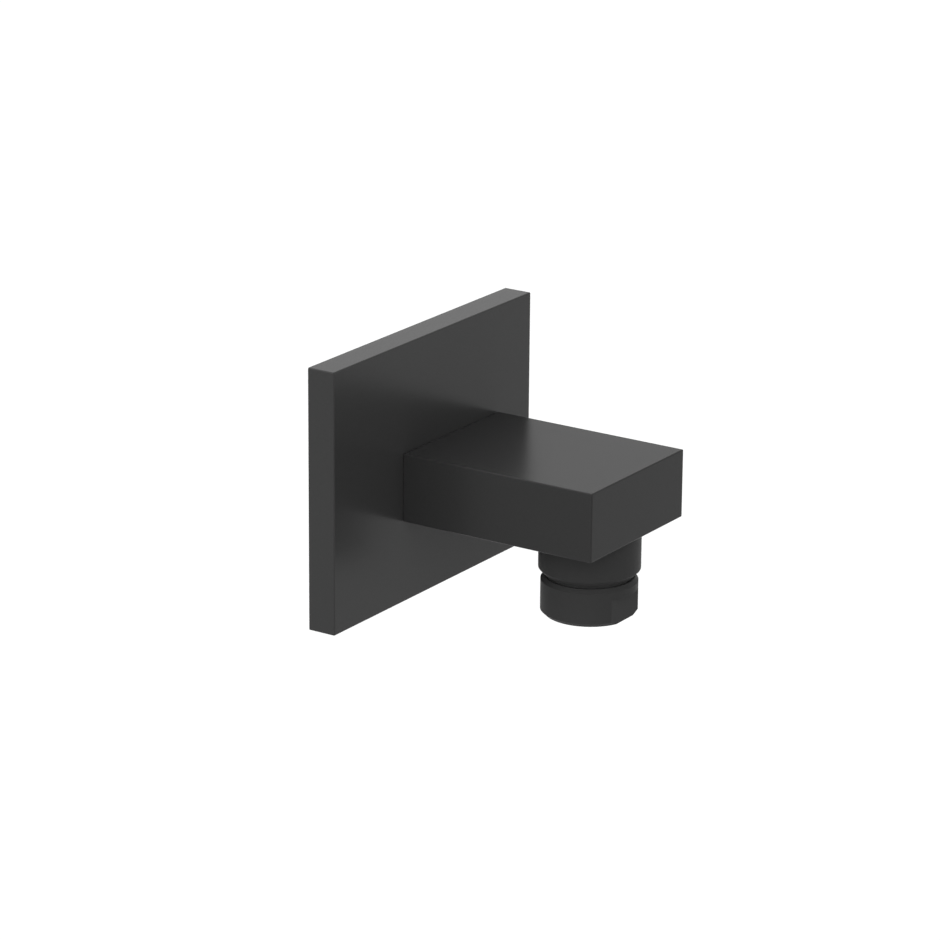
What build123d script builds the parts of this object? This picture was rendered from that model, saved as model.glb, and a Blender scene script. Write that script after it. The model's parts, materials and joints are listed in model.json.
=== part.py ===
from build123d import *
from build123d.topology import SkipClean
import math
import os

# Wall outlet elbow for a hand shower hose, in millimetres.
# X runs to the right as the fitting is faced, Y runs into the wall and Z runs up.
# The origin is on the inlet thread's axis, in the plane of the finished wall.

# Wall plate: a cast tray, open to the wall, that hides the hole round the pipe.
plate_width = 75.0
plate_height = 57.8
plate_depth = 6.5
plate_web = 2.0
plate_rim_lip = 2.0
plate_rim_corner = 1.5
plate_recess_corner = 3.0
plate_centre_x = -6.2
plate_centre_z = 2.9
plate_hole_clearance = 0.5

# Foam gasket in the rebate at the back of the plate's rim.
gasket_width = 3.5
gasket_thickness = 1.5
gasket_clearance = 0.05

# Arm: a solid rectangular bar, drilled from its back and from below.
arm_width = 37.0
arm_height = 15.2
arm_length = 47.4
outlet_from_wall = 42.2
waterway_radius = 3.25
chamber_radius = 7.5
chamber_roof = 3.2
visible_edge_round = 0.3

# Inlet nipple: half-inch pipe thread into the wall, hexagon, and a sealed spigot into the arm.
half_inch_major_radius = 10.4775
half_inch_minor_radius = 9.3155
inlet_thread_length = 14.0
inlet_thread_chamfer = 1.0
inlet_bore_radius = 7.5
inlet_bore_depth = 13.0
hexagon_across_flats = 24.0
hexagon_chamfer_angle = 60.0
hexagon_to_web_gap = 0.2
washer_outer_radius = 12.0
washer_thickness = 1.4
spigot_radius = 5.0
spigot_bore_clearance = 0.05
spigot_length_in_arm = 16.5
spigot_end_gap = 0.5
spigot_lead_in = 0.5
spigot_groove_depth = 1.1
spigot_groove_width = 1.8
spigot_groove_from_end = 1.2
spigot_groove_spacing = 3.0
grip_groove_depth = 1.0
grip_groove_floor = 2.2

# Screws, with their threads drawn as plain shanks.
grub_radius = 2.0
grub_from_plate = 4.5
grub_recess = 0.3
grub_tip_flat_radius = 1.0
grub_socket_across_flats = 2.0
grub_socket_depth = 1.6
plate_screw_radius = 2.0
plate_screw_head_radius = 3.7
plate_screw_length = 10.0
plate_screw_from_arm_side = 6.5
plate_screw_socket_across_flats = 2.5
plate_screw_socket_depth = 1.2
screw_clearance = 0.05
screw_hole_spare_depth = 0.8

# Outlet nipple: collar, neck and plain half-inch end with spanner flats.
outlet_screw_in_radius = 9.0
outlet_screw_in_length = 4.4
outlet_upper_bore_radius = 6.0
collar_radius = 11.0
collar_length = 8.2
collar_chamfer = 1.05
collar_edge_round = 0.3
neck_width = 0.75
neck_shoulder = 0.65
outlet_end_length = 8.53
outlet_end_top_chamfer = 0.9
outlet_end_bottom_chamfer = 0.88
outlet_flats_across = 18.0
outlet_flats_height = 5.98
outlet_ring_section = 1.3
outlet_ring_side_room = 0.05

# Non-return valve cartridge in the outlet nipple.
cartridge_bore_radius = 7.6
cartridge_clearance = 0.1
cartridge_top_gap = 0.3
cartridge_below_arm = 2.6
cartridge_flange_radius = 8.0
cartridge_flange_thickness = 0.8
cartridge_flange_recess = 0.2
housing_bore_radius = 5.4
cap_radius = 6.2
cap_height = 2.5
cap_clearance = 0.05
cap_opening_radius = 3.6
seat_lip_height = 0.3
seat_lip_width = 0.4
seat_lip_radius = 4.0
seat_to_seal_gap = 0.1
seal_outer_radius = 4.4
seal_thickness = 1.0
poppet_disc_radius = 4.5
poppet_disc_thickness = 1.2
poppet_boss_radius = 2.4
poppet_head_radius = 2.9
poppet_head_thickness = 0.4
poppet_stem_radius = 1.0
poppet_stem_clearance = 0.08
poppet_stem_end = 1.6
piece_gap = 0.05
spring_room = 5.4
spring_wire_radius = 0.2
spring_coil_radius = 2.1
spring_turns = 4.5
hub_radius = 2.8
hub_height = 2.0
spoke_width = 1.4
spoke_count = 3
cartridge_groove_depth = 1.0
cartridge_groove_width = 1.4
cartridge_groove_below_cap = 2.8

# Every O-ring is drawn squeezed to its groove, this much clear of each wall.
ring_seat_gap = 0.02

# Places worked out from the sizes above.
arm_back_y = -plate_depth
plate_screw_offset = arm_width / 2 - plate_screw_from_arm_side
underside_z = -arm_height / 2
recess_depth = plate_depth - plate_web
web_back_y = -recess_depth
hexagon_front_y = web_back_y + hexagon_to_web_gap
hexagon_back_y = -washer_thickness - 2 * piece_gap
spigot_bore_radius = spigot_radius + spigot_bore_clearance
spigot_end_y = arm_back_y - spigot_length_in_arm
spigot_bore_end_y = spigot_end_y - spigot_end_gap
grub_y = arm_back_y - grub_from_plate
screw_in_top_z = underside_z + outlet_screw_in_length
chamber_top_z = arm_height / 2 - chamber_roof

collar_bottom_z = underside_z - collar_length
neck_top_z = collar_bottom_z - collar_chamfer
end_top_z = neck_top_z - neck_width
end_bottom_z = end_top_z - outlet_end_length
flats_top_z = end_bottom_z + outlet_flats_height
outlet_axis = Axis((0, -outlet_from_wall, 0), (0, 0, 1))

cartridge_top_z = underside_z - cartridge_below_arm - cartridge_top_gap
cartridge_bottom_z = end_bottom_z + cartridge_flange_recess
flange_top_z = cartridge_bottom_z + cartridge_flange_thickness
housing_radius = cartridge_bore_radius - cartridge_clearance
ledge_z = cartridge_top_z - cap_height
seat_z = ledge_z - seat_lip_height
seal_top_z = seat_z - seat_to_seal_gap
seal_bottom_z = seal_top_z - seal_thickness
disc_bottom_z = seal_bottom_z - poppet_disc_thickness
hub_top_z = disc_bottom_z - spring_room
hub_bottom_z = hub_top_z - hub_height

# Sketch planes: one faces out of the wall, one looks up from below, and the profiles of
# turned pieces are drawn on planes through their axes.
facing_out = Plane(origin=(0, 0, 0), x_dir=(1, 0, 0), z_dir=(0, -1, 0))
inlet_profile = Plane(origin=(0, 0, 0), x_dir=(1, 0, 0), z_dir=(0, 0, 1))
outlet_profile = Plane(origin=(0, -outlet_from_wall, 0), x_dir=(1, 0, 0), z_dir=(0, -1, 0))
screw_places = {"plate_screw_left": -plate_screw_offset, "plate_screw_right": plate_screw_offset}


def level(z):
    """A plane that faces up at height z, centred on the outlet's axis."""
    return Plane(origin=(0, -outlet_from_wall, z), x_dir=(1, 0, 0), z_dir=(0, 0, 1))


def hexagon_radius(across_flats):
    """The distance from a hexagon's centre to its corners."""
    return across_flats / math.sqrt(3)


def turned(points, plane, axis):
    """One solid turned from a closed outline of (radius, place along the axis) points."""
    with BuildPart() as piece:
        with BuildSketch(plane):
            with BuildLine():
                Polyline(*points, close=True)
            make_face()
        revolve(axis=axis)
    return piece


def o_ring(inner_radius, outer_radius, middle, plane, axis):
    """A rubber ring that fills the room between a groove's floor and the wall outside it."""
    with BuildPart() as piece:
        with BuildSketch(plane):
            with Locations(((inner_radius + outer_radius) / 2, middle)):
                Circle((outer_radius - inner_radius) / 2 - ring_seat_gap)
        revolve(axis=axis)
    return piece


def save(piece, name):
    """Labels a finished piece and writes it to its own file."""
    piece.part.label = name
    export_step(piece.part, f"parts/{name}.step")


os.makedirs("parts", exist_ok=True)

# The plate is cast with a rim and a web. Its front is one flat rectangle with softened edges,
# and the screws that hold the arm sit flush in the back of the web.
with BuildPart() as wall_plate:
    with BuildSketch(facing_out):
        with Locations((plate_centre_x, plate_centre_z)):
            Rectangle(plate_width, plate_height)
    extrude(amount=plate_depth)
    front_edges = wall_plate.faces().sort_by(Axis.Y)[0].edges()
    corner_edges = wall_plate.edges().filter_by(Axis.Y)
    fillet(front_edges + corner_edges, visible_edge_round)
    rebate_inset = 2 * plate_rim_lip
    with BuildSketch(facing_out):
        with Locations((plate_centre_x, plate_centre_z)):
            RectangleRounded(plate_width - rebate_inset, plate_height - rebate_inset, plate_rim_corner)
    extrude(amount=gasket_thickness, mode=Mode.SUBTRACT)
    recess_inset = rebate_inset + 2 * gasket_width
    with BuildSketch(facing_out):
        with Locations((plate_centre_x, plate_centre_z)):
            RectangleRounded(
                plate_width - recess_inset,
                plate_height - recess_inset,
                plate_recess_corner,
            )
    extrude(amount=recess_depth, mode=Mode.SUBTRACT)
    with Locations(facing_out.offset(recess_depth)):
        Hole(spigot_radius + plate_hole_clearance)
    with Locations(facing_out.offset(recess_depth)):
        with Locations((-plate_screw_offset, 0), (plate_screw_offset, 0)):
            Hole(plate_screw_radius + screw_clearance)
    head_cone_height = plate_screw_head_radius - plate_screw_radius
    for screw_x in screw_places.values():
        with Locations(Location((screw_x, web_back_y - head_cone_height / 2, 0), (90, 0, 0))):
            Cone(
                bottom_radius=plate_screw_head_radius + screw_clearance,
                top_radius=plate_screw_radius + screw_clearance,
                height=head_cone_height,
                mode=Mode.SUBTRACT,
            )
save(wall_plate, "wall_plate")

# The gasket is cut from closed-cell foam sheet and lies flush with the back of the rim.
with BuildPart() as plate_gasket:
    outer_inset = rebate_inset + 2 * gasket_clearance
    inner_inset = outer_inset + 2 * gasket_width
    with BuildSketch(facing_out):
        with Locations((plate_centre_x, plate_centre_z)):
            RectangleRounded(plate_width - outer_inset, plate_height - outer_inset, plate_rim_corner)
            RectangleRounded(
                plate_width - inner_inset,
                plate_height - inner_inset,
                plate_recess_corner,
                mode=Mode.SUBTRACT,
            )
    extrude(amount=gasket_thickness)
save(plate_gasket, "plate_gasket")

# The arm is sawn from bar. The inlet bore and the waterway are drilled from the back, and the
# chamber is drilled and tapped from below, so that the two holes meet inside.
with BuildPart() as arm_body:
    with BuildSketch(facing_out.offset(plate_depth)):
        Rectangle(arm_width, arm_height)
    extrude(amount=arm_length)
    fillet(arm_body.edges(), visible_edge_round)
    with BuildSketch(facing_out.offset(plate_depth)):
        Circle(spigot_bore_radius)
    extrude(amount=spigot_length_in_arm + spigot_end_gap, mode=Mode.SUBTRACT)
    bore_mouth = arm_body.edges().filter_by(GeomType.CIRCLE).sort_by(Axis.Y)[-1]
    chamfer(bore_mouth, spigot_lead_in)
    with BuildSketch(facing_out.offset(-spigot_bore_end_y)):
        Circle(waterway_radius)
    extrude(amount=outlet_from_wall + spigot_bore_end_y, mode=Mode.SUBTRACT)
    with BuildSketch(level(underside_z)):
        Circle(chamber_radius)
    extrude(amount=chamber_top_z - underside_z, mode=Mode.SUBTRACT)
    with BuildSketch(level(underside_z)):
        Circle(outlet_screw_in_radius)
    extrude(amount=outlet_screw_in_length, mode=Mode.SUBTRACT)
    with BuildSketch(Plane(origin=(0, grub_y, underside_z), x_dir=(1, 0, 0), z_dir=(0, 0, 1))):
        Circle(grub_radius + screw_clearance)
    extrude(amount=-underside_z, mode=Mode.SUBTRACT)
    screw_hole_depth = plate_screw_length - plate_web + screw_hole_spare_depth
    with BuildSketch(facing_out.offset(plate_depth)):
        with Locations((-plate_screw_offset, 0), (plate_screw_offset, 0)):
            Circle(plate_screw_radius + screw_clearance)
    extrude(amount=screw_hole_depth, mode=Mode.SUBTRACT)
save(arm_body, "arm_body")

# The inlet nipple is turned from hexagon bar: thread to the wall, hexagon for the spanner,
# and a spigot with two seal grooves and one bevelled groove for the grub screw.
spigot_floor = spigot_radius - spigot_groove_depth
grip_floor = spigot_radius - grip_groove_depth
groove_ends = []
for groove_number in range(2):
    groove_start = spigot_end_y + spigot_groove_from_end + groove_number * spigot_groove_spacing
    groove_ends.append((groove_start, groove_start + spigot_groove_width))
spigot_outline = [
    (waterway_radius, spigot_end_y),
    (spigot_radius - spigot_lead_in, spigot_end_y),
    (spigot_radius, spigot_end_y + spigot_lead_in),
]
for groove_start, groove_stop in groove_ends:
    spigot_outline += [
        (spigot_radius, groove_start),
        (spigot_floor, groove_start),
        (spigot_floor, groove_stop),
        (spigot_radius, groove_stop),
    ]
grip_half = grip_groove_floor / 2
spigot_outline += [
    (spigot_radius, grub_y - grip_half - grip_groove_depth),
    (grip_floor, grub_y - grip_half),
    (grip_floor, grub_y + grip_half),
    (spigot_radius, grub_y + grip_half + grip_groove_depth),
    (spigot_radius, hexagon_front_y),
]
thread_end_y = inlet_thread_length + inlet_thread_chamfer
inlet_step_y = thread_end_y - inlet_bore_depth
inlet_outline = spigot_outline + [
    (half_inch_minor_radius, hexagon_front_y),
    (half_inch_minor_radius, 0),
    (half_inch_major_radius, 0),
    (half_inch_major_radius, inlet_thread_length),
    (half_inch_major_radius - inlet_thread_chamfer, thread_end_y),
    (inlet_bore_radius, thread_end_y),
    (inlet_bore_radius, inlet_step_y),
    (waterway_radius, inlet_step_y - (inlet_bore_radius - waterway_radius) / 2),
]
with BuildPart() as inlet_nipple:
    with BuildSketch(facing_out.offset(-hexagon_back_y)):
        RegularPolygon(hexagon_radius(hexagon_across_flats), 6, rotation=30)
    extrude(amount=hexagon_back_y - hexagon_front_y)
    with BuildSketch(facing_out.offset(-hexagon_back_y)):
        Circle(hexagon_across_flats / 2)
    extrude(amount=hexagon_back_y - hexagon_front_y, taper=-hexagon_chamfer_angle, mode=Mode.INTERSECT)
    with BuildSketch(facing_out.offset(-hexagon_back_y)):
        Circle((half_inch_minor_radius + waterway_radius) / 2)
    extrude(amount=hexagon_back_y - hexagon_front_y, mode=Mode.SUBTRACT)
    with BuildSketch(inlet_profile):
        with BuildLine():
            Polyline(*inlet_outline, close=True)
        make_face()
    revolve(axis=Axis.Y)
save(inlet_nipple, "inlet_nipple")

# The washer seals the nipple's hexagon against the pipe fitting in the wall.
washer_outline = [
    (half_inch_minor_radius + piece_gap, -piece_gap),
    (washer_outer_radius, -piece_gap),
    (washer_outer_radius, -piece_gap - washer_thickness),
    (half_inch_minor_radius + piece_gap, -piece_gap - washer_thickness),
]
save(turned(washer_outline, inlet_profile, Axis.Y), "inlet_washer")

# Two rubber rings seal the spigot in the arm's bore.
for ring_name, groove in zip(("spigot_o_ring_inner", "spigot_o_ring_outer"), groove_ends):
    groove_middle = sum(groove) / 2
    save(o_ring(spigot_floor, spigot_bore_radius, groove_middle, inlet_profile, Axis.Y), ring_name)

# The grub screw goes up into the arm from below and its cone grips the spigot's bevelled groove.
grub_low_z = underside_z + grub_recess
grub_tip_z = -grip_floor - piece_gap
grub_shoulder_z = grub_tip_z - (grub_radius - grub_tip_flat_radius)
with BuildPart() as arm_grub_screw:
    with BuildSketch(Plane(origin=(0, grub_y, 0), x_dir=(1, 0, 0), z_dir=(0, -1, 0))):
        with BuildLine():
            Polyline(
                (0, grub_low_z),
                (grub_radius, grub_low_z),
                (grub_radius, grub_shoulder_z),
                (grub_tip_flat_radius, grub_tip_z),
                (0, grub_tip_z),
                close=True,
            )
        make_face()
    revolve(axis=Axis((0, grub_y, 0), (0, 0, 1)))
    with BuildSketch(Plane(origin=(0, grub_y, grub_low_z), x_dir=(1, 0, 0), z_dir=(0, 0, 1))):
        RegularPolygon(hexagon_radius(grub_socket_across_flats), 6)
    extrude(amount=grub_socket_depth, mode=Mode.SUBTRACT)
save(arm_grub_screw, "arm_grub_screw")

# Two countersunk screws pull the arm against the plate from behind.
for screw_name, screw_x in screw_places.items():
    with BuildPart() as plate_screw:
        with BuildSketch(Plane(origin=(screw_x, 0, 0), x_dir=(1, 0, 0), z_dir=(0, 0, 1))):
            with BuildLine():
                Polyline(
                    (0, web_back_y),
                    (plate_screw_head_radius, web_back_y),
                    (plate_screw_radius, web_back_y - head_cone_height),
                    (plate_screw_radius, web_back_y - plate_screw_length),
                    (0, web_back_y - plate_screw_length),
                    close=True,
                )
            make_face()
        revolve(axis=Axis((screw_x, 0, 0), (0, 1, 0)))
        with BuildSketch(Plane(origin=(screw_x, web_back_y, 0), x_dir=(1, 0, 0), z_dir=(0, -1, 0))):
            RegularPolygon(hexagon_radius(plate_screw_socket_across_flats), 6)
        extrude(amount=plate_screw_socket_depth, mode=Mode.SUBTRACT)
    save(plate_screw, screw_name)

# The outlet nipple screws up into the arm until its collar meets the underside. The hose nut
# goes on the plain half-inch end below the neck.
upper_ring_outer = outlet_screw_in_radius + outlet_ring_section + outlet_ring_side_room
cartridge_shoulder_z = cartridge_top_z + cartridge_top_gap
flange_seat_z = flange_top_z + piece_gap
outlet_outline = [
    (outlet_upper_bore_radius, screw_in_top_z - piece_gap),
    (outlet_screw_in_radius - screw_clearance, screw_in_top_z - piece_gap),
    (outlet_screw_in_radius - screw_clearance, underside_z - outlet_ring_section),
    (upper_ring_outer, underside_z - outlet_ring_section),
    (upper_ring_outer, underside_z),
    (collar_radius, underside_z),
    (collar_radius, collar_bottom_z),
    (collar_radius - collar_chamfer, neck_top_z),
    (half_inch_minor_radius, neck_top_z),
    (half_inch_minor_radius, end_top_z),
    (half_inch_major_radius - neck_shoulder, end_top_z),
    (half_inch_major_radius, end_top_z - outlet_end_top_chamfer),
    (half_inch_major_radius, flats_top_z),
    (cartridge_bore_radius, flats_top_z),
    (cartridge_bore_radius, cartridge_shoulder_z),
    (outlet_upper_bore_radius, cartridge_shoulder_z),
]
# The end below is milled front and back for a spanner. It is joined as it stands, so that the
# round wall between the flats stays a face of its own.
flatted_outline = [
    (cartridge_bore_radius, flats_top_z),
    (half_inch_major_radius, flats_top_z),
    (half_inch_major_radius, end_bottom_z + outlet_end_bottom_chamfer),
    (half_inch_major_radius - outlet_end_bottom_chamfer, end_bottom_z),
    (cartridge_flange_radius + cartridge_clearance, end_bottom_z),
    (cartridge_flange_radius + cartridge_clearance, flange_seat_z),
    (cartridge_bore_radius, flange_seat_z),
]
with BuildPart() as outlet_nipple:
    with BuildSketch(outlet_profile):
        with BuildLine():
            Polyline(*outlet_outline, close=True)
        make_face()
    revolve(axis=outlet_axis)
    collar_edge = outlet_nipple.edges().filter_by(
        lambda edge: edge.geom_type == GeomType.CIRCLE
        and abs(edge.radius - collar_radius) < 0.01
        and abs(edge.center().Z - collar_bottom_z) < 0.01
    )
    fillet(collar_edge, collar_edge_round)
    with SkipClean():
        with BuildSketch(outlet_profile):
            with BuildLine():
                Polyline(*flatted_outline, close=True)
            make_face()
        revolve(axis=outlet_axis)
        with BuildSketch(level(end_bottom_z)):
            Circle(half_inch_major_radius + 1)
            Rectangle(3 * half_inch_major_radius, outlet_flats_across, mode=Mode.SUBTRACT)
        extrude(amount=outlet_flats_height, mode=Mode.SUBTRACT)
save(outlet_nipple, "outlet_nipple")

# A rubber ring in the collar's top face seals the nipple to the arm.
with BuildPart() as outlet_o_ring:
    with BuildSketch(outlet_profile):
        ring_middle_radius = (outlet_screw_in_radius - screw_clearance + upper_ring_outer) / 2
        with Locations((ring_middle_radius, underside_z - outlet_ring_section / 2)):
            Circle(outlet_ring_section / 2 - ring_seat_gap)
    revolve(axis=outlet_axis)
save(outlet_o_ring, "outlet_o_ring")

# The cartridge's moulded housing: a flanged sleeve with a seal groove outside, a ledge for the
# seat cap, and a hub on three spokes that guides the poppet's stem.
groove_top_z = ledge_z - cartridge_groove_below_cap
groove_bottom_z = groove_top_z - cartridge_groove_width
groove_floor_radius = housing_radius - cartridge_groove_depth
housing_outline = [
    (cap_radius, cartridge_top_z),
    (housing_radius, cartridge_top_z),
    (housing_radius, groove_top_z),
    (groove_floor_radius, groove_top_z),
    (groove_floor_radius, groove_bottom_z),
    (housing_radius, groove_bottom_z),
    (housing_radius, flange_top_z),
    (cartridge_flange_radius, flange_top_z),
    (cartridge_flange_radius, cartridge_bottom_z),
    (housing_bore_radius, cartridge_bottom_z),
    (housing_bore_radius, ledge_z),
    (cap_radius, ledge_z),
]
with BuildPart() as valve_housing:
    with BuildSketch(level(hub_bottom_z)):
        Circle(hub_radius)
        with PolarLocations(0, spoke_count):
            with Locations(((hub_radius + housing_radius) / 2 - cartridge_groove_depth, 0)):
                Rectangle(housing_radius - hub_radius, spoke_width)
        Circle(poppet_stem_radius + poppet_stem_clearance, mode=Mode.SUBTRACT)
    extrude(amount=hub_height)
    with BuildSketch(outlet_profile):
        with BuildLine():
            Polyline(*housing_outline, close=True)
        make_face()
    revolve(axis=outlet_axis)
save(valve_housing, "valve_housing")

# The seat cap is pressed into the housing's mouth and carries the lip that the poppet closes on.
cap_outline = [
    (cap_opening_radius, cartridge_top_z),
    (cap_radius - cap_clearance, cartridge_top_z),
    (cap_radius - cap_clearance, ledge_z),
    (seat_lip_radius + seat_lip_width / 2, ledge_z),
    (seat_lip_radius + seat_lip_width / 2, seat_z),
    (seat_lip_radius - seat_lip_width / 2, seat_z),
    (cap_opening_radius, ledge_z),
]
save(turned(cap_outline, outlet_profile, outlet_axis), "valve_seat_cap")

# The poppet: a disc on a stem, with a boss and head that hold the rubber seal on top.
stem_end_z = hub_top_z - poppet_stem_end
poppet_outline = [
    (0, seal_top_z + poppet_head_thickness),
    (poppet_head_radius, seal_top_z + poppet_head_thickness),
    (poppet_head_radius, seal_top_z),
    (poppet_boss_radius, seal_top_z),
    (poppet_boss_radius, seal_bottom_z),
    (poppet_disc_radius, seal_bottom_z),
    (poppet_disc_radius, disc_bottom_z),
    (poppet_stem_radius, disc_bottom_z),
    (poppet_stem_radius, stem_end_z),
    (0, stem_end_z),
]
save(turned(poppet_outline, outlet_profile, outlet_axis), "valve_poppet")

# The seal is a flat rubber ring stretched over the poppet's head.
seal_outline = [
    (poppet_boss_radius + ring_seat_gap, seal_top_z),
    (seal_outer_radius, seal_top_z),
    (seal_outer_radius, seal_bottom_z),
    (poppet_boss_radius + ring_seat_gap, seal_bottom_z),
]
save(turned(seal_outline, outlet_profile, outlet_axis), "valve_poppet_seal")

# The spring stands on the hub and pushes the poppet up on to its seat.
helix_height = spring_room - 2 * spring_wire_radius - 2 * piece_gap
with BuildPart() as valve_spring:
    with BuildLine() as coil:
        Helix(
            pitch=helix_height / spring_turns,
            height=helix_height,
            radius=spring_coil_radius,
            center=(0, -outlet_from_wall, hub_top_z + spring_wire_radius + piece_gap),
        )
    with BuildSketch(Plane(origin=coil.line @ 0, z_dir=coil.line % 0)):
        Circle(spring_wire_radius)
    sweep(path=coil.line, is_frenet=True)
save(valve_spring, "valve_spring")

# A rubber ring seals the cartridge in the outlet nipple.
cartridge_ring = o_ring(
    groove_floor_radius,
    cartridge_bore_radius,
    (groove_top_z + groove_bottom_z) / 2,
    outlet_profile,
    outlet_axis,
)
save(cartridge_ring, "valve_o_ring")
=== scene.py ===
import json
import math

import bmesh
import bpy
from mathutils import Matrix, Vector


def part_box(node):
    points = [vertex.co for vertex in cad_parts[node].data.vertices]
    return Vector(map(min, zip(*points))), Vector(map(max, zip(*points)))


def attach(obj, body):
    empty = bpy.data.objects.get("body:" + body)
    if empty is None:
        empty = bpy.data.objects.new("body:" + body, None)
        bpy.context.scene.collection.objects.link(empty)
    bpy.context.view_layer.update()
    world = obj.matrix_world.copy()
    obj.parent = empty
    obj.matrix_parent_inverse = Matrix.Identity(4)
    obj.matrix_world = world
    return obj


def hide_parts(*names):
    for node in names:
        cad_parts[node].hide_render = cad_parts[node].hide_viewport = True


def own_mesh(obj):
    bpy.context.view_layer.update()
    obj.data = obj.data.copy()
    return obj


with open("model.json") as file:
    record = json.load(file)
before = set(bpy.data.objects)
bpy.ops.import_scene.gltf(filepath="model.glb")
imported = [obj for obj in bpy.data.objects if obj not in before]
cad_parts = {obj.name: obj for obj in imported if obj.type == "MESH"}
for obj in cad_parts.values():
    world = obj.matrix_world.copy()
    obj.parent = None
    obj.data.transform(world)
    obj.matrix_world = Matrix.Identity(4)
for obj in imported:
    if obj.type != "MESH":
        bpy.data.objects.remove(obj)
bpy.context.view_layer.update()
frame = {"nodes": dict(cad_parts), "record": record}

# Wall plate: a die-cast brass plate with an open back, held against the wall by the arm. It is
# polished and then sprayed and baked in satin black. The eye gets an even charcoal with a fine
# grain, and a soft, broad reflection of what stands near it.
MM = 0.001


def linear(hex_colour):
    """An sRGB hex colour as the linear values a shader takes."""
    parts = [int(hex_colour[start : start + 2], 16) / 255 for start in (1, 3, 5)]
    return [p / 12.92 if p <= 0.04045 else ((p + 0.055) / 1.055) ** 2.4 for p in parts] + [1]


def add_node(tree, kind, settings, links):
    """Adds a node, sets its properties and inputs, and links its inputs to other nodes' outputs."""
    node = tree.nodes.new(kind)
    for name, value in settings.items():
        if isinstance(name, str) and hasattr(node, name):
            setattr(node, name, value)
        else:
            node.inputs[name].default_value = value
    for name, source in links.items():
        tree.links.new(source, node.inputs[name])
    return node


def start_material(name, shader_settings):
    """A new material, its node tree and its main shader."""
    material = bpy.data.materials.new(name)
    material.use_nodes = True
    shader = material.node_tree.nodes["Principled BSDF"]
    for socket, value in shader_settings.items():
        shader.inputs[socket].default_value = value
    return material, material.node_tree, shader


def grained_material(
    name, shader_settings, grain_mm, colours, roughness, relief_mm, stretch=(1, 1, 1)
):
    """A material whose tone and low relief follow a fine grain, and its gloss far wider clouds."""
    cloud_mm = 25 * grain_mm
    material, tree, shader = start_material(name, shader_settings)
    place = add_node(tree, "ShaderNodeTexCoord", {}, {})
    scaled = add_node(
        tree, "ShaderNodeMapping", {"Scale": stretch}, {"Vector": place.outputs["Object"]}
    )
    grain = add_node(
        tree,
        "ShaderNodeTexNoise",
        {"Scale": 1 / (grain_mm * MM), "Detail": 3.0},
        {"Vector": scaled.outputs["Vector"]},
    )
    cloud = add_node(
        tree,
        "ShaderNodeTexNoise",
        {"Scale": 1 / (cloud_mm * MM), "Detail": 2.0},
        {"Vector": scaled.outputs["Vector"]},
    )
    # A Mix node's names repeat, so its colours go by number: 6 and 7 are its inputs, 2 its output.
    tone = add_node(
        tree,
        "ShaderNodeMix",
        {"data_type": "RGBA", 6: linear(colours[0]), 7: linear(colours[1])},
        {0: grain.outputs["Fac"]},
    )
    gloss = add_node(
        tree,
        "ShaderNodeMapRange",
        {"clamp": False, "To Min": roughness[0], "To Max": roughness[1]},
        {"Value": cloud.outputs["Fac"]},
    )
    relief = add_node(
        tree,
        "ShaderNodeBump",
        {"Strength": 1.0, "Distance": relief_mm * MM},
        {"Height": grain.outputs["Fac"]},
    )
    tree.links.new(tone.outputs[2], shader.inputs["Base Color"])
    tree.links.new(gloss.outputs["Result"], shader.inputs["Roughness"])
    tree.links.new(relief.outputs["Normal"], shader.inputs["Normal"])
    return material


def satin_black(name, colours, specular_level, roughness):
    """Baked satin black lacquer: near black, with the faint, blurred sheen of a matting agent."""
    # The spray's grain is about 0.05 mm, too fine to show, and is drawn at 0.5 mm.
    gloss_spread = 0.01
    return grained_material(
        name,
        {"IOR": 1.5, "Specular IOR Level": specular_level},
        grain_mm=0.5,
        colours=colours,
        roughness=(roughness - gloss_spread, roughness + gloss_spread),
        relief_mm=0.0004,
    )


def dress(node_name, material):
    """Gives a CAD node its finished material."""
    for material_slot in frame["nodes"][node_name].material_slots:
        material_slot.material = material


plate_black = satin_black(
    "satin_black_plate", colours=("#353535", "#383838"), specular_level=0.135, roughness=0.25
)
dress("wall_plate", plate_black)

# Gasket: a frame of closed-cell foam, stuck in the back of the plate's rim, which takes up a tiled
# wall's unevenness. Matt charcoal with a soft, dented face. Its cells are about 0.2 mm, too fine to
# show, and are drawn at 0.4 mm.
foam = grained_material(
    "closed_cell_foam",
    {"IOR": 1.45},
    grain_mm=0.4,
    colours=("#1c1d1f", "#35373a"),
    roughness=(0.85, 0.95),
    relief_mm=0.05,
)
dress("plate_gasket", foam)

# Arm: sawn from solid brass bar, drilled and polished, with its edges just broken, and coated like
# the plate. Its coat is drawn a little darker than the plate's, with a fainter sheen: the darker
# tone is painted shade, fitted to how dark the arm looks in its light, on the plate's own coat.
arm_black_painted_shade = satin_black(
    "satin_black_arm_painted_shade", colours=("#2f2f2f", "#323232"), specular_level=0.085, roughness=0.25
)
dress("arm_body", arm_black_painted_shade)

# Inlet nipple: turned from brass hexagon bar and left bare, a warm yellow with the rings of the
# tool. Its half-inch thread goes into the fitting in the wall and its spigot slides into the arm.
# The solid has a plain shank, and this piece cuts the real thread into it.
mounts = {mount["name"]: mount for mount in frame["record"]["mounts"]}


def bare_metal(name, colours, roughness, grain_mm, stretch=(1, 1, 1)):
    """A metal as it was made, with an even grain or, stretched on two axes, rings round the third."""
    return grained_material(
        name,
        {"Metallic": 1.0},
        grain_mm=grain_mm,
        colours=colours,
        roughness=roughness,
        relief_mm=0.002,
        stretch=stretch,
    )


def draw_in(vert, limit):
    """Moves a vertex that lies outside a radius round the Y axis in to that radius."""
    radius = math.hypot(vert.co.x, vert.co.z)
    if radius > limit:
        vert.co.x *= limit / radius
        vert.co.z *= limit / radius


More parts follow.
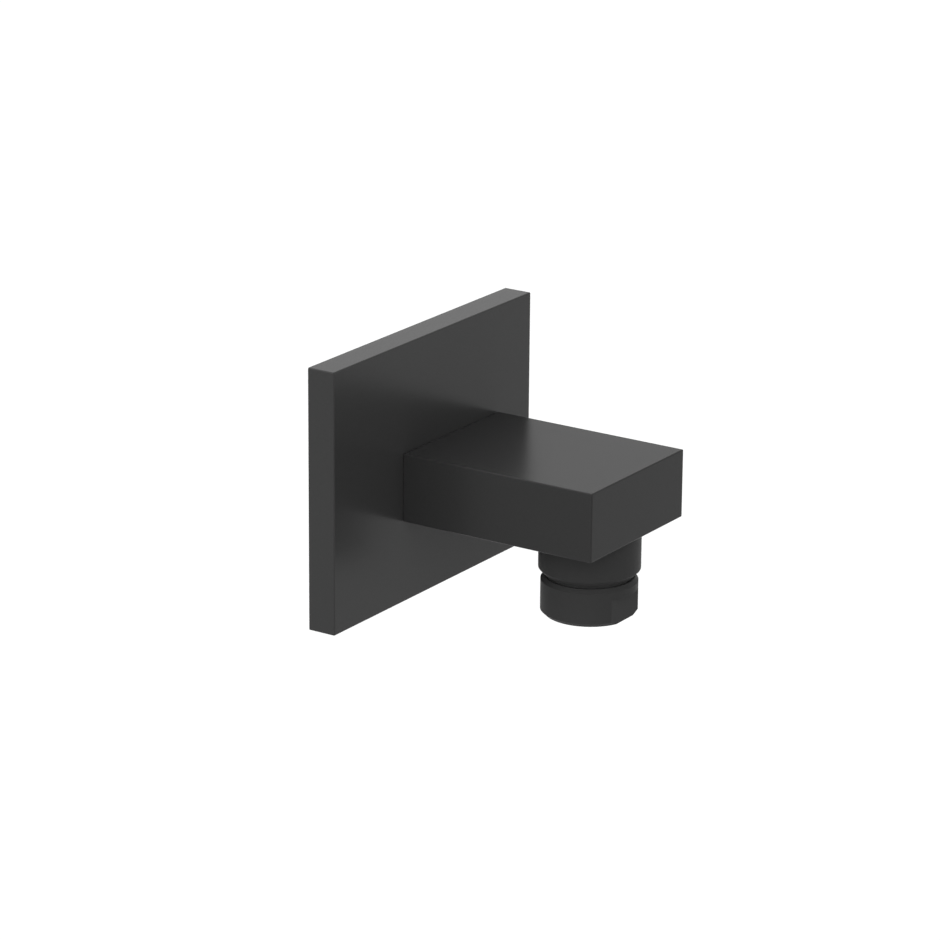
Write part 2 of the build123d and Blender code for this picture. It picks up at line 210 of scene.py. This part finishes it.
def save_piece(name, work_mesh, body, record_slot, material, *replaced):
    """Makes a piece of a worked mesh, shades it by angle and puts it on its body."""
    sharp_angle = math.radians(30)
    mesh = bpy.data.meshes.new(name)
    work_mesh.to_mesh(mesh)
    work_mesh.free()
    mesh.shade_smooth()
    mesh.set_sharp_from_angle(angle=sharp_angle)
    mesh.materials.append(material)
    piece = bpy.data.objects.new(name, mesh)
    bpy.context.scene.collection.objects.link(piece)
    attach(piece, body)
    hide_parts(*replaced)
    return piece


# A tool's rings are about 0.1 mm apart, too fine to show, and are drawn at 0.3 mm.
rings_round_y = (0.15, 1, 0.15)
bare_brass = bare_metal(
    "turned_brass",
    colours=("#d2ad68", "#dcc08a"),
    roughness=(0.20, 0.26),
    grain_mm=0.3,
    stretch=rings_round_y,
)

# The thread's form is a 55 degree V with a flat of a sixth of the pitch at its crest and its root.
# Past the wall's plane the shank is drawn in to the root, and the ridge's foot is sunk in it a bit.
thread_major = mounts["wall_inlet"]["dims"]["r_mm"] * MM
thread_minor = 9.3155 * MM
thread_pitch = 1.814 * MM
thread_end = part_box("inlet_nipple")[1].y
thread_chamfer = 1.3 * MM
thread_steps = 60
crest_width = thread_pitch / 6
flank_width = thread_pitch / 2 - crest_width
thread_depth = thread_major - thread_minor
root_sink = 0.2 * MM
foot_reach = crest_width / 2 + flank_width * (1 + root_sink / thread_depth)
ridge_stop = thread_end - 0.1 * MM
shank_start = -0.01 * MM
weld_distance = 0.001 * MM

nipple = bmesh.new()
nipple.from_mesh(frame["nodes"]["inlet_nipple"].data)
bmesh.ops.remove_doubles(nipple, verts=nipple.verts, dist=weld_distance)
for vert in nipple.verts:
    if vert.co.y > shank_start:
        draw_in(vert, thread_minor)
bmesh.ops.dissolve_degenerate(nipple, edges=nipple.edges, dist=weld_distance)

thread = bmesh.new()
ridge_corners = (
    (-foot_reach, thread_minor - root_sink),
    (-crest_width / 2, thread_major),
    (crest_width / 2, thread_major),
    (foot_reach, thread_minor - root_sink),
)
ridge = [thread.verts.new((radius, along - thread_pitch, 0)) for along, radius in ridge_corners]
ridge_edges = [thread.edges.new(pair) for pair in zip(ridge, ridge[1:] + ridge[:1])]
turns = math.ceil(thread_end / thread_pitch) + 2
bmesh.ops.spin(
    thread,
    geom=ridge + ridge_edges,
    axis=(0, 1, 0),
    dvec=(0, thread_pitch / thread_steps, 0),
    angle=math.tau * turns,
    steps=thread_steps * turns,
)
for cut_y, cut_normal in ((0, -1), (ridge_stop, 1)):
    bmesh.ops.bisect_plane(
        thread,
        geom=thread.verts[:] + thread.edges[:] + thread.faces[:],
        plane_co=(0, cut_y, 0),
        plane_no=(0, cut_normal, 0),
        clear_outer=True,
    )
bmesh.ops.holes_fill(thread, edges=[e for e in thread.edges if e.is_boundary])
for vert in thread.verts:
    draw_in(vert, thread_major - max(0, vert.co.y - (thread_end - thread_chamfer)))
bmesh.ops.recalc_face_normals(thread, faces=thread.faces)
thread_mesh = bpy.data.meshes.new("thread")
thread.to_mesh(thread_mesh)
thread.free()
nipple.from_mesh(thread_mesh)
bpy.data.meshes.remove(thread_mesh)
save_piece("threaded_inlet_nipple", nipple, "elbow", "bare_brass", bare_brass, "inlet_nipple")

# Washer: stamped from red vulcanised fibre, under the hexagon. Matt brick red with a faint fibrous
# mottle, drawn at 0.6 mm because the fibres themselves are too fine to show.
fibres_along_x = (0.3, 1, 1)
red_fibre = grained_material(
    "vulcanised_fibre",
    {"IOR": 1.5},
    grain_mm=0.6,
    colours=("#6d241b", "#8f3a2b"),
    roughness=(0.6, 0.75),
    relief_mm=0.01,
    stretch=fibres_along_x,
)
dress("inlet_washer", red_fibre)

# Seals: the O-rings of the spigot, the outlet and the valve, and the poppet's flat seal, moulded in
# black EPDM rubber. Soft black with a low sheen and the faint bloom that a mould leaves.
moulded_rubber = grained_material(
    "moulded_epdm_rubber",
    {"IOR": 1.5},
    grain_mm=0.4,
    colours=("#151618", "#1e1f22"),
    roughness=(0.4, 0.55),
    relief_mm=0.002,
)
for seal in (
    "spigot_o_ring_inner",
    "spigot_o_ring_outer",
    "outlet_o_ring",
    "valve_o_ring",
    "valve_poppet_seal",
):
    dress(seal, moulded_rubber)

# Screws: two countersunk ones pull the arm to the plate, and a grub screw below the arm grips the
# spigot. Turned from stainless steel, pale grey, with the tool's rings round each screw's own axis.
# The rings are about 0.1 mm apart, too fine to show, and are drawn at 0.25 mm.
steel_tones = ("#b3b4b5", "#c0c1c2")
steel_gloss = (0.28, 0.36)
steel_ring_mm = 0.25
rings_round_z = (0.15, 0.15, 1)
plate_steel = bare_metal(
    "turned_stainless_steel", steel_tones, steel_gloss, steel_ring_mm, rings_round_y
)
dress("plate_screw_left", plate_steel)
dress("plate_screw_right", plate_steel)
upright_steel = bare_metal(
    "turned_stainless_steel_upright", steel_tones, steel_gloss, steel_ring_mm, rings_round_z
)
dress("arm_grub_screw", upright_steel)

# Outlet nipple: turned from brass, with a collar, a neck and a half-inch end that has two spanner
# flats, and coated like the arm that it is screwed into from below. Its coat is drawn the dullest,
# and its tone, a step lighter than the plate's, is painted light, fitted to how bright it looks.
outlet_black_painted_light = satin_black(
    "satin_black_outlet_painted_light", colours=("#363636", "#393939"), specular_level=0.055, roughness=0.5
)
dress("outlet_nipple", outlet_black_painted_light)

# Non-return valve: a cartridge of moulded acetal, pushed into the outlet nipple. The sleeve and the
# seat cap are off-white with a slight gloss and the poppet is blue, as makers colour them to tell
# their valves apart. The moulding's flow leaves a faint mottle, about 1 mm wide.
acetal_finish = {"grain_mm": 1.0, "roughness": (0.35, 0.45), "relief_mm": 0.001}
white_acetal = grained_material(
    "moulded_white_acetal", {"IOR": 1.48}, colours=("#dcdcd6", "#e4e4df"), **acetal_finish
)
dress("valve_housing", white_acetal)
dress("valve_seat_cap", white_acetal)
blue_acetal = grained_material(
    "moulded_blue_acetal", {"IOR": 1.48}, colours=("#2c5f9f", "#3468a8"), **acetal_finish
)
dress("valve_poppet", blue_acetal)

# Valve spring: coiled from 0.4 mm stainless spring wire, between the sleeve's hub and the poppet.
# It closes the poppet, and shortens as the water opens it. Bright grey drawn wire, whose die marks
# are too fine to show and are drawn at 0.2 mm.
spring_wire = bare_metal(
    "drawn_spring_steel_wire",
    colours=("#bcbdbe", "#c8c9ca"),
    roughness=(0.18, 0.24),
    grain_mm=0.2,
)
# The valve spring part's lowest and highest points give the spring's lower and upper ends.
outlet_axis_y = mounts["hose_outlet"]["pos_m"][1]
coil_radius = 2.1 * MM
wire_radius = 0.2 * MM
coil_turns = 4.5
coil_steps = 40
wire_sides = 12
spring_bottom, spring_top = (corner.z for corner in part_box("valve_spring"))
coil_rise = spring_top - spring_bottom - 2 * wire_radius

coil = bmesh.new()
wire_start = Matrix.Translation((coil_radius, outlet_axis_y, spring_bottom + wire_radius))
bmesh.ops.create_circle(
    coil,
    segments=wire_sides,
    radius=wire_radius,
    matrix=wire_start @ Matrix.Rotation(math.radians(90), 4, "X"),
)
bmesh.ops.spin(
    coil,
    geom=coil.verts[:] + coil.edges[:],
    cent=(0, outlet_axis_y, 0),
    axis=(0, 0, 1),
    dvec=(0, 0, coil_rise / (coil_turns * coil_steps)),
    angle=math.tau * coil_turns,
    steps=int(coil_turns * coil_steps),
)
bmesh.ops.holes_fill(coil, edges=[e for e in coil.edges if e.is_boundary])
bmesh.ops.recalc_face_normals(coil, faces=coil.faces)
spring = save_piece(
    "coiled_valve_spring", coil, "elbow", "spring_steel", spring_wire, "valve_spring"
)
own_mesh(spring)

# Floor: a plain white sheet well below the fitting, which hangs in the air as in the photograph.
# The camera, and metal and glass, see it a little brighter than its lit colour, so it shows white.
floor_drop = 650 * MM
floor_half = 6000 * MM
paper_glow = 0.5


def seen_directly(tree):
    """1 for rays from the camera, from a mirror or through glass, and 0 for rays of soft light."""
    ray = add_node(tree, "ShaderNodeLightPath", {}, {})
    straight = add_node(
        tree,
        "ShaderNodeMath",
        {"operation": "MAXIMUM"},
        {0: ray.outputs["Is Camera Ray"], 1: ray.outputs["Is Glossy Ray"]},
    )
    through = add_node(
        tree,
        "ShaderNodeMath",
        {"operation": "MAXIMUM"},
        {0: straight.outputs[0], 1: ray.outputs["Is Transmission Ray"]},
    )
    return through.outputs[0]


floor_grid = bmesh.new()
bmesh.ops.create_grid(
    floor_grid,
    x_segments=1,
    y_segments=1,
    size=floor_half,
    matrix=Matrix.Translation((0, 0, -floor_drop)),
)
floor_mesh = bpy.data.meshes.new("floor")
floor_grid.to_mesh(floor_mesh)
floor_grid.free()
floor = bpy.data.objects.new("floor", floor_mesh)
bpy.context.scene.collection.objects.link(floor)
white_paper, tree, shader = start_material(
    "white_paper",
    {
        "Base Color": linear("#bcbcbc"),
        "Roughness": 0.9,
        "Specular IOR Level": 0.0,
        "Emission Color": linear("#ffffff"),
    },
)
glow = add_node(
    tree, "ShaderNodeMath", {"operation": "MULTIPLY", 1: paper_glow}, {0: seen_directly(tree)}
)
tree.links.new(glow.outputs[0], shader.inputs["Emission Strength"])
floor_mesh.materials.append(white_paper)

# Light: a soft, even studio. One broad lamp stands in front and to the left, a second above and
# behind, and the room gives the rest. The camera, metal and glass see a plain white room.
room_light = 0.31
front_lamp_direction = Vector((-4, -3, 3)).normalized()
front_lamp_strength = 1.65
rear_lamp_direction = Vector((-1, 2, 2)).normalized()
rear_lamp_strength = 2.25
# A lamp fades with this power of the cosine of the angle off its middle.
lamp_fading = 4.0
lamps = (
    (front_lamp_direction, front_lamp_strength),
    (rear_lamp_direction, rear_lamp_strength),
)

world = bpy.data.worlds.new("soft_studio")
world.use_nodes = True
# The room has no small bright spot, so sampling it as a lamp would only take longer.
world.cycles.sampling_method = "NONE"
tree = world.node_tree
background = tree.nodes["Background"]
direction = add_node(tree, "ShaderNodeTexCoord", {}, {})
lit = add_node(tree, "ShaderNodeMath", {"operation": "ADD", 0: room_light, 1: 0.0}, {})
for lamp_direction, lamp_strength in lamps:
    toward = add_node(
        tree,
        "ShaderNodeVectorMath",
        {"operation": "DOT_PRODUCT", 1: lamp_direction},
        {0: direction.outputs["Generated"]},
    )
    facing = add_node(
        tree, "ShaderNodeMath", {"operation": "MAXIMUM", 1: 0.0}, {0: toward.outputs["Value"]}
    )
    faded = add_node(
        tree, "ShaderNodeMath", {"operation": "POWER", 1: lamp_fading}, {0: facing.outputs[0]}
    )
    lit = add_node(
        tree,
        "ShaderNodeMath",
        {"operation": "MULTIPLY_ADD", 1: lamp_strength},
        {0: faded.outputs[0], 2: lit.outputs[0]},
    )
shown_room = add_node(
    tree, "ShaderNodeMath", {"operation": "MAXIMUM"}, {0: seen_directly(tree), 1: lit.outputs[0]}
)
tree.links.new(shown_room.outputs[0], background.inputs["Strength"])
background.inputs["Color"].default_value = linear("#ffffff")
bpy.context.scene.world = world

# Camera: the photograph's viewing angle, from the left, in front and above, found by fitting the
# part's corners to the picture.
camera_place = Vector((-701.534, -474.297, 276.101)) * MM
camera_heading = math.radians(33.41472)
camera_down = math.radians(18.18947)
camera_roll = math.radians(0.457258)
sensor_width_mm = 36.0
lens_mm = 156.879
camera = bpy.data.objects.new("camera", bpy.data.cameras.new("camera"))
camera.data.sensor_width = sensor_width_mm
camera.data.lens = lens_mm
camera.matrix_world = (
    Matrix.Translation(camera_place)
    @ Matrix.Rotation(camera_heading - math.radians(90), 4, "Z")
    @ Matrix.Rotation(math.radians(90) - camera_down, 4, "X")
    @ Matrix.Rotation(camera_roll, 4, "Z")
)
bpy.context.scene.collection.objects.link(camera)
bpy.context.scene.camera = camera
bpy.context.scene.view_settings.view_transform = "Standard"
